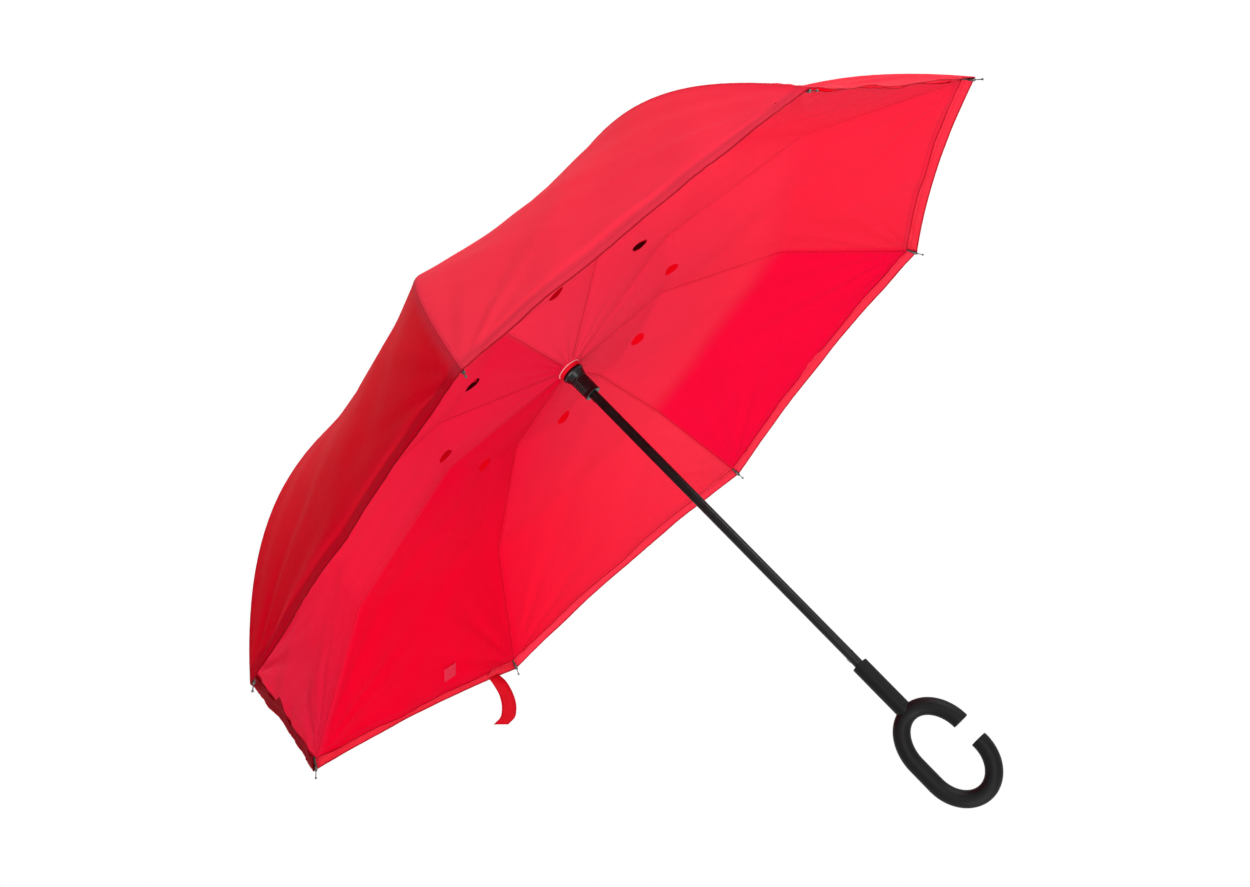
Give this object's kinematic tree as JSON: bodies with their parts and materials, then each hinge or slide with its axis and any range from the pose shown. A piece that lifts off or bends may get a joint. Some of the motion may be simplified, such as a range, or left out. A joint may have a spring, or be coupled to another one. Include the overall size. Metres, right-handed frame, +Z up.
{
  "type": "inverted umbrella",
  "caption": "Open inverted umbrella: double cloth canopy on folding ribs, sliding runner, straight tube shaft, C-shaped hook handle and a tie strap.",
  "frame": {"origin": "on the shaft's axis, at the middle of the handle's neck, where a hand holds the umbrella", "axes": "+Z up the shaft towards the crown; +X along rib 1; +Y the way that the C-shaped handle opens"},
  "size_m": [1.0716, 1.0716, 0.8027],
  "materials": {
    "canopy_cloth": "satin",
    "strap_webbing": "matte",
    "hook_patch": "matte",
    "binding_ring": "matte",
    "grip_plastic": "satin",
    "hub_plastic": "satin",
    "shaft_metal": "satin",
    "rib_steel": "satin",
    "knuckle_metal": "satin",
    "rod_fibreglass": "satin",
    "tip_metal": "satin",
    "wire_steel": "satin"
  },
  "bodies": {
    "root": {"shaft_tube": "shaft_metal", "handle": "grip_plastic", "crown_notch": "hub_plastic", "crown_wire": "wire_steel", "top_cap": "hub_plastic", "outer_canopy": "canopy_cloth"},
    "runner": {"runner_sleeve": "hub_plastic", "runner_notch": "hub_plastic", "runner_wire": "wire_steel", "hub_ring": "binding_ring", "inner_canopy": "canopy_cloth"},
    "top_catch": {"top_catch": "wire_steel"},
    "bottom_catch": {"bottom_catch": "wire_steel"},
    "inner_rib_1": {"inner_rib_1": "rib_steel"},
    "stretcher_1": {"stretcher_1": "rib_steel"},
    "outer_rib_1": {"rib_knuckle_1": "knuckle_metal", "outer_rod_1": "rod_fibreglass", "rib_tip_1": "tip_metal"},
    "inner_rib_2": {"inner_rib_2": "rib_steel"},
    "stretcher_2": {"stretcher_2": "rib_steel"},
    "outer_rib_2": {"rib_knuckle_2": "knuckle_metal", "outer_rod_2": "rod_fibreglass", "rib_tip_2": "tip_metal"},
    "inner_rib_3": {"inner_rib_3": "rib_steel"},
    "stretcher_3": {"stretcher_3": "rib_steel"},
    "outer_rib_3": {"rib_knuckle_3": "knuckle_metal", "outer_rod_3": "rod_fibreglass", "rib_tip_3": "tip_metal"},
    "inner_rib_4": {"inner_rib_4": "rib_steel"},
    "stretcher_4": {"stretcher_4": "rib_steel"},
    "outer_rib_4": {"rib_knuckle_4": "knuckle_metal", "outer_rod_4": "rod_fibreglass", "rib_tip_4": "tip_metal"},
    "inner_rib_5": {"inner_rib_5": "rib_steel"},
    "stretcher_5": {"stretcher_5": "rib_steel"},
    "outer_rib_5": {"rib_knuckle_5": "knuckle_metal", "outer_rod_5": "rod_fibreglass", "rib_tip_5": "tip_metal"},
    "inner_rib_6": {"inner_rib_6": "rib_steel"},
    "stretcher_6": {"stretcher_6": "rib_steel"},
    "outer_rib_6": {"rib_knuckle_6": "knuckle_metal", "outer_rod_6": "rod_fibreglass", "rib_tip_6": "tip_metal", "strap": "strap_webbing", "strap_patch": "hook_patch"},
    "inner_rib_7": {"inner_rib_7": "rib_steel"},
    "stretcher_7": {"stretcher_7": "rib_steel"},
    "outer_rib_7": {"rib_knuckle_7": "knuckle_metal", "outer_rod_7": "rod_fibreglass", "rib_tip_7": "tip_metal"},
    "inner_rib_8": {"inner_rib_8": "rib_steel"},
    "stretcher_8": {"stretcher_8": "rib_steel"},
    "outer_rib_8": {"rib_knuckle_8": "knuckle_metal", "outer_rod_8": "rod_fibreglass", "rib_tip_8": "tip_metal"}
  },
  "joints": [
    {"name": "runner_slide", "type": "slide", "parent": "root", "child": "runner", "axis": [0, 0, 1], "range_m": [-0.413, 0], "deforming": ["outer_canopy", "inner_canopy", "strap", "strap_patch"]},
    {"name": "top_catch_press", "type": "slide", "parent": "root", "child": "top_catch", "axis": [-0.5736, -0.8192, 0], "range_m": [-0.0025, 0], "stiffness_N_per_m": 300},
    {"name": "bottom_catch_press", "type": "slide", "parent": "root", "child": "bottom_catch", "axis": [-0.5736, -0.8192, 0], "range_m": [-0.0025, 0], "stiffness_N_per_m": 300},
    {"name": "inner_rib_1_fold", "type": "hinge", "parent": "root", "child": "inner_rib_1", "pos_m": [0.0115, 0, 0.6175], "axis": [0, 1, 0], "range_deg": [0, 74.87]},
    {"name": "stretcher_1_fold", "type": "hinge", "parent": "runner", "child": "stretcher_1", "pos_m": [0.0165, 0, 0.5085], "axis": [0, 1, 0], "range_deg": [-73.5, 0]},
    {"name": "outer_rib_1_fold", "type": "hinge", "parent": "inner_rib_1", "child": "outer_rib_1", "pos_m": [0.3055, 0, 0.56131], "axis": [0, 1, 0], "range_deg": [-195.47, 0]},
    {"name": "inner_rib_2_fold", "type": "hinge", "parent": "root", "child": "inner_rib_2", "pos_m": [0.00813, 0.00813, 0.6175], "axis": [-0.7071, 0.7071, 0], "range_deg": [0, 74.87]},
    {"name": "stretcher_2_fold", "type": "hinge", "parent": "runner", "child": "stretcher_2", "pos_m": [0.01167, 0.01167, 0.5085], "axis": [-0.7071, 0.7071, 0], "range_deg": [-73.5, 0]},
    {"name": "outer_rib_2_fold", "type": "hinge", "parent": "inner_rib_2", "child": "outer_rib_2", "pos_m": [0.21602, 0.21602, 0.56131], "axis": [-0.7071, 0.7071, 0], "range_deg": [-195.47, 0]},
    {"name": "inner_rib_3_fold", "type": "hinge", "parent": "root", "child": "inner_rib_3", "pos_m": [0, 0.0115, 0.6175], "axis": [-1, 0, 0], "range_deg": [0, 74.87]},
    {"name": "stretcher_3_fold", "type": "hinge", "parent": "runner", "child": "stretcher_3", "pos_m": [0, 0.0165, 0.5085], "axis": [-1, 0, 0], "range_deg": [-73.5, 0]},
    {"name": "outer_rib_3_fold", "type": "hinge", "parent": "inner_rib_3", "child": "outer_rib_3", "pos_m": [0, 0.3055, 0.56131], "axis": [-1, 0, 0], "range_deg": [-195.47, 0]},
    {"name": "inner_rib_4_fold", "type": "hinge", "parent": "root", "child": "inner_rib_4", "pos_m": [-0.00813, 0.00813, 0.6175], "axis": [-0.7071, -0.7071, 0], "range_deg": [0, 74.87]},
    {"name": "stretcher_4_fold", "type": "hinge", "parent": "runner", "child": "stretcher_4", "pos_m": [-0.01167, 0.01167, 0.5085], "axis": [-0.7071, -0.7071, 0], "range_deg": [-73.5, 0]},
    {"name": "outer_rib_4_fold", "type": "hinge", "parent": "inner_rib_4", "child": "outer_rib_4", "pos_m": [-0.21602, 0.21602, 0.56131], "axis": [-0.7071, -0.7071, 0], "range_deg": [-195.47, 0]},
    {"name": "inner_rib_5_fold", "type": "hinge", "parent": "root", "child": "inner_rib_5", "pos_m": [-0.0115, 0, 0.6175], "axis": [0, -1, 0], "range_deg": [0, 74.87]},
    {"name": "stretcher_5_fold", "type": "hinge", "parent": "runner", "child": "stretcher_5", "pos_m": [-0.0165, 0, 0.5085], "axis": [0, -1, 0], "range_deg": [-73.5, 0]},
    {"name": "outer_rib_5_fold", "type": "hinge", "parent": "inner_rib_5", "child": "outer_rib_5", "pos_m": [-0.3055, 0, 0.56131], "axis": [0, -1, 0], "range_deg": [-195.47, 0]},
    {"name": "inner_rib_6_fold", "type": "hinge", "parent": "root", "child": "inner_rib_6", "pos_m": [-0.00813, -0.00813, 0.6175], "axis": [0.7071, -0.7071, 0], "range_deg": [0, 74.87]},
    {"name": "stretcher_6_fold", "type": "hinge", "parent": "runner", "child": "stretcher_6", "pos_m": [-0.01167, -0.01167, 0.5085], "axis": [0.7071, -0.7071, 0], "range_deg": [-73.5, 0]},
    {"name": "outer_rib_6_fold", "type": "hinge", "parent": "inner_rib_6", "child": "outer_rib_6", "pos_m": [-0.21602, -0.21602, 0.56131], "axis": [0.7071, -0.7071, 0], "range_deg": [-195.47, 0]},
    {"name": "inner_rib_7_fold", "type": "hinge", "parent": "root", "child": "inner_rib_7", "pos_m": [0, -0.0115, 0.6175], "axis": [1, 0, 0], "range_deg": [0, 74.87]},
    {"name": "stretcher_7_fold", "type": "hinge", "parent": "runner", "child": "stretcher_7", "pos_m": [0, -0.0165, 0.5085], "axis": [1, 0, 0], "range_deg": [-73.5, 0]},
    {"name": "outer_rib_7_fold", "type": "hinge", "parent": "inner_rib_7", "child": "outer_rib_7", "pos_m": [0, -0.3055, 0.56131], "axis": [1, 0, 0], "range_deg": [-195.47, 0]},
    {"name": "inner_rib_8_fold", "type": "hinge", "parent": "root", "child": "inner_rib_8", "pos_m": [0.00813, -0.00813, 0.6175], "axis": [0.7071, 0.7071, 0], "range_deg": [0, 74.87]},
    {"name": "stretcher_8_fold", "type": "hinge", "parent": "runner", "child": "stretcher_8", "pos_m": [0.01167, -0.01167, 0.5085], "axis": [0.7071, 0.7071, 0], "range_deg": [-73.5, 0]},
    {"name": "outer_rib_8_fold", "type": "hinge", "parent": "inner_rib_8", "child": "outer_rib_8", "pos_m": [0.21602, -0.21602, 0.56131], "axis": [0.7071, 0.7071, 0], "range_deg": [-195.47, 0]}
  ],
  "couplings": [
    {"joint": "inner_rib_1_fold", "follows": "runner_slide", "rad_per_m": -3.1639},
    {"joint": "stretcher_1_fold", "follows": "runner_slide", "rad_per_m": 3.106},
    {"joint": "outer_rib_1_fold", "follows": "runner_slide", "rad_per_m": 8.2605},
    {"joint": "inner_rib_2_fold", "follows": "runner_slide", "rad_per_m": -3.1639},
    {"joint": "stretcher_2_fold", "follows": "runner_slide", "rad_per_m": 3.106},
    {"joint": "outer_rib_2_fold", "follows": "runner_slide", "rad_per_m": 8.2605},
    {"joint": "inner_rib_3_fold", "follows": "runner_slide", "rad_per_m": -3.1639},
    {"joint": "stretcher_3_fold", "follows": "runner_slide", "rad_per_m": 3.106},
    {"joint": "outer_rib_3_fold", "follows": "runner_slide", "rad_per_m": 8.2605},
    {"joint": "inner_rib_4_fold", "follows": "runner_slide", "rad_per_m": -3.1639},
    {"joint": "stretcher_4_fold", "follows": "runner_slide", "rad_per_m": 3.106},
    {"joint": "outer_rib_4_fold", "follows": "runner_slide", "rad_per_m": 8.2605},
    {"joint": "inner_rib_5_fold", "follows": "runner_slide", "rad_per_m": -3.1639},
    {"joint": "stretcher_5_fold", "follows": "runner_slide", "rad_per_m": 3.106},
    {"joint": "outer_rib_5_fold", "follows": "runner_slide", "rad_per_m": 8.2605},
    {"joint": "inner_rib_6_fold", "follows": "runner_slide", "rad_per_m": -3.1639},
    {"joint": "stretcher_6_fold", "follows": "runner_slide", "rad_per_m": 3.106},
    {"joint": "outer_rib_6_fold", "follows": "runner_slide", "rad_per_m": 8.2605},
    {"joint": "inner_rib_7_fold", "follows": "runner_slide", "rad_per_m": -3.1639},
    {"joint": "stretcher_7_fold", "follows": "runner_slide", "rad_per_m": 3.106},
    {"joint": "outer_rib_7_fold", "follows": "runner_slide", "rad_per_m": 8.2605},
    {"joint": "inner_rib_8_fold", "follows": "runner_slide", "rad_per_m": -3.1639},
    {"joint": "stretcher_8_fold", "follows": "runner_slide", "rad_per_m": 3.106},
    {"joint": "outer_rib_8_fold", "follows": "runner_slide", "rad_per_m": 8.2605}
  ]
}
